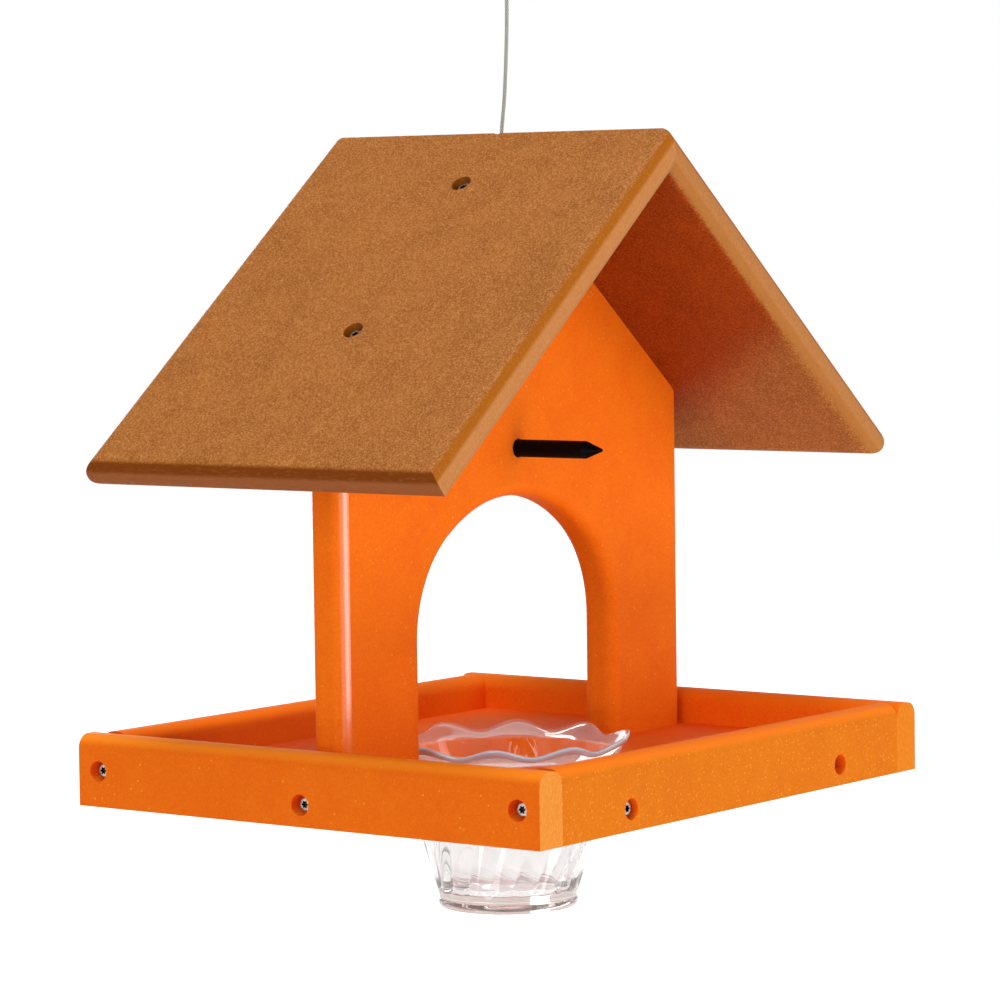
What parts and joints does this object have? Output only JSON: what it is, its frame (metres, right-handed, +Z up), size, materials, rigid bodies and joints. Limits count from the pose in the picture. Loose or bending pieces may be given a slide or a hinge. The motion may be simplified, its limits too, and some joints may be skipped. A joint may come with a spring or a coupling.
{
  "type": "hanging oriole feeder",
  "caption": "Hanging oriole feeder of thick recycled-plastic boards: tray, arched gable panel with a fruit spike, pitched roof, ruffled glass jelly cup and wire-rope hanger.",
  "frame": {"origin": "the point inside the top of the wire rope's loop where a hook bears", "axes": "+Z up, +Y along the ridge towards the back of the feeder, +X across the gable to the right of someone who looks along +Y; -Y is the front"},
  "size_m": [0.3468, 0.256, 0.4741],
  "materials": {
    "orange_board": "satin",
    "brown_board": "satin",
    "black_spike": "satin",
    "clear_glass": "polished",
    "screw_steel": "satin",
    "rope_steel": "stranded",
    "sleeve_metal": "satin"
  },
  "bodies": {
    "feeder": {"left_side_rail": "orange_board", "right_side_rail": "orange_board", "front_rail": "orange_board", "back_rail": "orange_board", "tray_floor": "orange_board", "gable_panel": "orange_board", "left_roof_board": "brown_board", "right_roof_board": "brown_board", "orange_spike": "black_spike", "left_rail_screws": "screw_steel", "right_rail_screws": "screw_steel", "front_rail_screws": "screw_steel", "back_rail_screws": "screw_steel", "panel_foot_screws": "screw_steel", "left_roof_screws": "screw_steel", "right_roof_screws": "screw_steel", "hanging_cable": "rope_steel", "loop_sleeve": "sleeve_metal", "rope_stop": "sleeve_metal", "stop_washer": "screw_steel"},
    "cup": {"glass_cup": "clear_glass"}
  },
  "joints": [
    {"name": "cup_lift", "type": "slide", "parent": "feeder", "child": "cup", "axis": [0, 0, 1], "range_m": [0, 0.074]}
  ]
}
